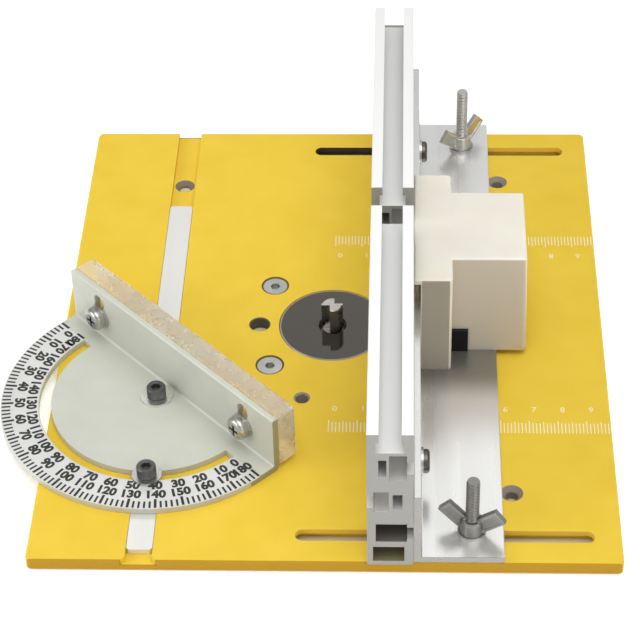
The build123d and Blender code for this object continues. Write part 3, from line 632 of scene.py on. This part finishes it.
def threaded_rod(bm, matrix, radius, low, high, pitch, segments=40):
    """Rod with a real helical thread and a tapered tip."""
    steps = int((high - low) / (pitch / 8))
    rings = [[bm.verts.new(matrix @ Vector((0, 0, low)))]]
    for k in range(steps + 1):
        height = low + (high - low) * k / steps
        ring = []
        for i in range(segments):
            turn = i / segments
            phase = (height / pitch - turn) % 1.0
            cut = THREAD_DEPTH * (1 - abs(2 * phase - 1))
            tip = max(0.0, 1 - (high - height) / TIP_LENGTH) * TIP_DEPTH
            r = radius - max(cut, tip)
            angle = 2 * math.pi * turn
            point = Vector((r * math.cos(angle), r * math.sin(angle), height))
            ring.append(bm.verts.new(matrix @ point))
        rings.append(ring)
    rings.append([bm.verts.new(matrix @ Vector((0, 0, high)))])
    join_rings(bm, rings)


BOLT_HEX = 5.0 * MM                    # half the head's width across its flats
BOLT_HEAD = 3.0 * MM
BOLT_RADIUS = 2.95 * MM
FRONT_BOLT_DROP = 4.4 * MM             # how far the front bolt stands below the rear one


def fence_bolt(name, x, y, low, high):
    """Hex-head bolt standing up through the table."""
    bm = bmesh.new()
    matrix = Matrix.Translation((x, y, 0))
    corner = BOLT_HEX / math.cos(math.pi / 6)
    turns = [i * math.pi / 3 for i in range(6)]
    outline = [(corner * math.cos(turn), corner * math.sin(turn)) for turn in turns]
    prism(bm, outline, low, low + BOLT_HEAD, matrix)
    threaded_rod(bm, matrix, BOLT_RADIUS, low + BOLT_HEAD - 0.1 * MM, high, BOLT_PITCH)
    return add_piece(name, bm, "fence", LOOKS["zinc_bolt"])


bolt_low, bolt_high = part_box("fence_bolts")
bolt_x = (bolt_low.x + bolt_high.x) / 2
bolt_y = bolt_high.y - BOLT_HEX
bolt_tops = ((-1, "front", bolt_high.z - FRONT_BOLT_DROP), (1, "rear", bolt_high.z))
for side, name, bolt_top in bolt_tops:
    bolt = fence_bolt(f"fence_bolt_{name}", bolt_x, side * bolt_y, bolt_low.z, bolt_top)
    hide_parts("fence_bolts")


WING_MIDDLE = Vector((7.2, 0, 7.0)) * MM
WING_TILT = math.radians(41)
WING_LENGTH = 13.6 * MM
WING_WIDTH = 7.2 * MM
WING_BORDER = 1.2 * MM
WEB_HALF = 0.7 * MM                    # half the thickness of a wing's web
BORDER_HALF = 1.3 * MM                 # and of its border
WING_HUB = ((0, 0), (5.3, 0), (5.2, 1.0), (4.7, 5.8), (4.3, 6.5), (0, 6.5))  # radius, height, mm
CASTING_GRAIN = 0.2 * MM               # of the remesh that melts a nut's pieces together


def wing_blocks(side):
    """A wing's thin web and the four thicker strips of its border, along and across the wing."""
    long, wide, rim = WING_LENGTH / 2, WING_WIDTH / 2, WING_BORDER
    web = (-long, long, -wide, wide, WEB_HALF)
    border = [
        (-long, long, wide - rim, wide, BORDER_HALF),
        (-long, long, -wide, rim - wide, BORDER_HALF),
        (long - rim, long, -wide, wide, BORDER_HALF),
        (-long, rim - long, -wide, wide, BORDER_HALF),
    ]
    turn = Matrix.Rotation(-side * WING_TILT, 4, "Y")
    middle_of_wing = Vector((side * WING_MIDDLE.x, 0, WING_MIDDLE.z))
    lay_flat = Matrix.Rotation(math.radians(90), 4, "X")
    place = Matrix.Translation(middle_of_wing) @ turn @ lay_flat
    return [(block, place) for block in [web, *border]]


def wing_nut(name, body, turn):
    """Cast wing nut: hub and two ears melted into one rounded casting."""
    node_low, node_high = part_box(name)
    centre = (node_low + node_high) / 2
    heading = Matrix.Rotation(math.radians(turn), 4, "Z")
    place = Matrix.Translation((bolt_x, centre.y, node_low.z)) @ heading
    bm = bmesh.new()
    lathe(bm, [(radius * MM, height * MM) for radius, height in WING_HUB], place)
    for side in (-1, 1):
        for (x0, x1, y0, y1, half), turn_up in wing_blocks(side):
            prism(bm, [(x0, y0), (x1, y0), (x1, y1), (x0, y1)], -half, half, place @ turn_up)
    nut = add_piece(name + "_casting", bm, body, LOOKS["zinc_wing"])
    melt = nut.modifiers.new("melt", "REMESH")
    melt.mode = "VOXEL"
    melt.voxel_size = CASTING_GRAIN
    melt.use_smooth_shade = True
    smooth = nut.modifiers.new("smooth", "SMOOTH")
    smooth.iterations = 3
    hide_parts(name)


wing_nut("wing_nut_front", "wing_nut_front", -17)
wing_nut("wing_nut_rear", "wing_nut_rear", 44)


# ==== socket cap screws =========================================================================

CAP_HEIGHT = 5.0 * MM
CAP_ROD_RADIUS = 2.45 * MM
KNURL_DEPTH = 0.17 * MM
SOCKET_RADIUS = 2.0 * MM               # to the middle of a flat
SOCKET_DEPTHS = (0.25 * MM, 2.7 * MM)  # below the head's top: its mouth and the end of its flats
SOCKET_POINT = 3.2 * MM                # and the drilled point


def cap_screw(node, body):
    """Socket cap screw with a knurled head."""
    low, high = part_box(node)
    centre = (low + high) / 2
    head_r = (high.x - low.x) / 2
    seat = high.z - CAP_HEIGHT
    matrix = Matrix.Translation((centre.x, centre.y, 0))
    bm = bmesh.new()
    segments = 144
    levels = [
        (seat, 0.94, 0.0), (seat + 0.3 * MM, 1.0, 1.0), (high.z - 0.8 * MM, 1.0, 1.0),
        (high.z - 0.45 * MM, 0.99, 0.0), (high.z, 0.9, 0.0), (high.z, 0.62, 0.0),
    ]
    rings = [[bm.verts.new(matrix @ Vector((0, 0, seat)))]]
    for height, scale, knurl in levels:
        ring = []
        for i in range(segments):
            angle = 2 * math.pi * i / segments
            r = head_r * scale - knurl * KNURL_DEPTH * (i % 3 != 0)
            point = Vector((r * math.cos(angle), r * math.sin(angle), height))
            ring.append(bm.verts.new(matrix @ point))
        rings.append(ring)
    for depth in SOCKET_DEPTHS:
        ring = []
        for i in range(segments):
            angle = 2 * math.pi * i / segments
            r = SOCKET_RADIUS / math.cos((angle % (math.pi / 3)) - math.pi / 6)
            point = Vector((r * math.cos(angle), r * math.sin(angle), high.z - depth))
            ring.append(bm.verts.new(matrix @ point))
        rings.append(ring)
    rings.append([bm.verts.new(matrix @ Vector((0, 0, high.z - SOCKET_POINT)))])
    join_rings(bm, rings)
    threaded_rod(bm, matrix, CAP_ROD_RADIUS, low.z, seat + 0.1 * MM, M5_PITCH)
    screw = add_piece(node + "_detail", bm, body, LOOKS["black_screw"])
    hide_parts(node)


cap_screw("pivot_screw", "mitre_bar")
cap_screw("lock_screw", "lock_screw")


# ==== softened CAD nodes ========================================================================

for node, width in (
    ("face_board", 0.3 * MM),
    ("dust_hood", 0.4 * MM),
    ("hood_clip", 0.4 * MM),
):
    soften(node, width)


# ==== floor, lights and camera ==================================================================

SHADE_INSET = 8 * MM                   # from the plate's edge to the shade painted under it
FLOOR_GLOW = 0.25


def floor():
    """Plain pale floor that glows a little, except under the plate, where a painted shadow in tan
    lies and it does not glow.
    """
    mesh = bpy.data.meshes.new("floor")
    size = 4.0
    corners = [(-size, -size, 0), (size, -size, 0), (size, size, 0), (-size, size, 0)]
    mesh.from_pydata(corners, [], [(0, 1, 2, 3)])
    look, tree, shader = new_look("floor")
    tint(tree, shader, noise(tree, 3.0), "F7F7F7", "FAFAFA")
    shader.inputs["Roughness"].default_value = 0.9
    shader.inputs["Emission Color"].default_value = (1, 1, 1, 1)
    plate_low, plate_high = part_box("table_plate")
    # painted shadow under the plate
    plate_shadow = between(tree, {
        "X": (plate_low.x + SHADE_INSET, plate_high.x - SHADE_INSET),
        "Y": (plate_low.y + SHADE_INSET, plate_high.y - SHADE_INSET),
    })
    overlay(tree, shader, plate_shadow, "D6CAA4")
    open_floor = math_node(tree, "SUBTRACT", 1.0, plate_shadow)
    glow = math_node(tree, "MULTIPLY", open_floor, FLOOR_GLOW)
    tree.links.new(glow, shader.inputs["Emission Strength"])
    mesh.materials.append(look)
    obj = bpy.data.objects.new("floor", mesh)
    obj.location.z = cad_low.z - 0.2 * MM
    bpy.context.collection.objects.link(obj)


def softbox(name, place, target, size, power):
    """Large soft area light aimed at a point."""
    light = bpy.data.lights.new(name, "AREA")
    light.shape = "RECTANGLE"
    light.size, light.size_y = size
    light.energy = power
    obj = bpy.data.objects.new(name, light)
    obj.location = place
    obj.rotation_euler = (Vector(target) - Vector(place)).to_track_quat("-Z", "Y").to_euler()
    bpy.context.collection.objects.link(obj)


floor()
softbox("key", (0.22, -0.4, 1.6), (0, 0, 0), (1.4, 1.4), 17.4)
softbox("side", (-1.5, -0.6, 0.75), (0, 0, 0), (1.2, 1.0), 11.5)
softbox("front", (0.8, -1.5, 0.7), (0, 0, 0), (1.0, 0.8), 2.9)
softbox("backdrop", (0.1, 1.35, 1.65), (0, 0, 0), (2.0, 1.0), 5.0)

world = bpy.data.worlds.new("studio")
world.use_nodes = True
world.node_tree.nodes["Background"].inputs["Color"].default_value = (1, 1, 1, 1)
world.node_tree.nodes["Background"].inputs["Strength"].default_value = 0.45
bpy.context.scene.world = world
bpy.context.scene.view_settings.view_transform = "Standard"

CAMERA_YAW = -0.0488           # radians, heading right of +Y
CAMERA_PITCH = 0.7174          # radians below the horizon
CAMERA_ROLL = -0.0275
CAMERA_DISTANCE = 1.04437
CAMERA_LENS = 125.59           # mm, on a 36 mm sensor
LOOK_AT = Vector((-0.005973, 0.003273, TABLE_TOP))


def camera():
    """Camera at the photograph's viewing angle."""
    heading = Vector((math.sin(CAMERA_YAW), math.cos(CAMERA_YAW), 0))
    ahead = heading * math.cos(CAMERA_PITCH) - Vector((0, 0, math.sin(CAMERA_PITCH)))
    right = Vector((math.cos(CAMERA_YAW), -math.sin(CAMERA_YAW), 0))
    up = right.cross(ahead)
    rolled_right = right * math.cos(CAMERA_ROLL) + up * math.sin(CAMERA_ROLL)
    rolled_up = up * math.cos(CAMERA_ROLL) - right * math.sin(CAMERA_ROLL)
    turn = Matrix((rolled_right, rolled_up, -ahead)).transposed()
    data = bpy.data.cameras.new("camera")
    data.lens = CAMERA_LENS
    data.sensor_width = 36
    obj = bpy.data.objects.new("camera", data)
    obj.matrix_world = Matrix.Translation(LOOK_AT - ahead * CAMERA_DISTANCE) @ turn.to_4x4()
    bpy.context.collection.objects.link(obj)
    bpy.context.scene.camera = obj


camera()
